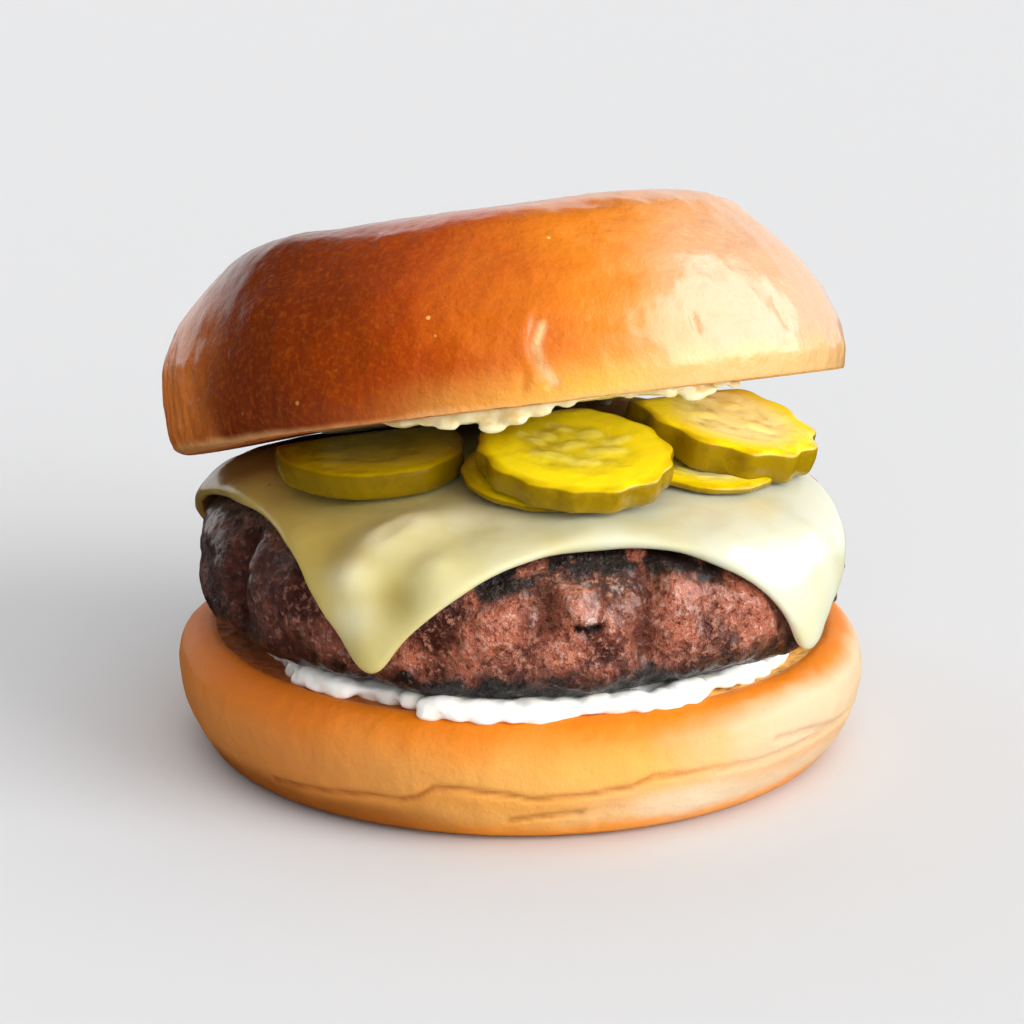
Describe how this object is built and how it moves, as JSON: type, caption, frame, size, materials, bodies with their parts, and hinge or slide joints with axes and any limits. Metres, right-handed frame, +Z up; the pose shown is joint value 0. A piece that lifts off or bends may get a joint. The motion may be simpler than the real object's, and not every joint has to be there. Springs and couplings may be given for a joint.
{
  "type": "hamburger",
  "caption": "Cheeseburger in a split soft bun: a griddled beef patty under a melted square slice of white cheese and pickle slices, with white sauce, its crown tipped back to show the filling.",
  "frame": {"origin": "centre of the flat foot of the bun's heel", "axes": "+Z up through the stack, +X to the right as the picture shows it, +Y away from the side that opens towards the viewer"},
  "size_m": [0.1068, 0.1055, 0.0882],
  "materials": {
    "crust": "glossy baked bread crust",
    "meat": "moist browned ground beef",
    "white_cheese": "melted white cheese",
    "white_sauce": "creamy white sauce",
    "pickle_flesh": "wet pickled cucumber"
  },
  "bodies": {
    "root": {"bun_heel": "crust", "bun_crown": "crust", "patty": "meat", "cheese": "white_cheese", "sauce_lower": "white_sauce", "sauce_upper": "white_sauce", "pickle_left": "pickle_flesh", "pickle_middle": "pickle_flesh", "pickle_right": "pickle_flesh", "pickle_lower_middle": "pickle_flesh", "pickle_lower_right": "pickle_flesh"}
  },
  "joints": []
}
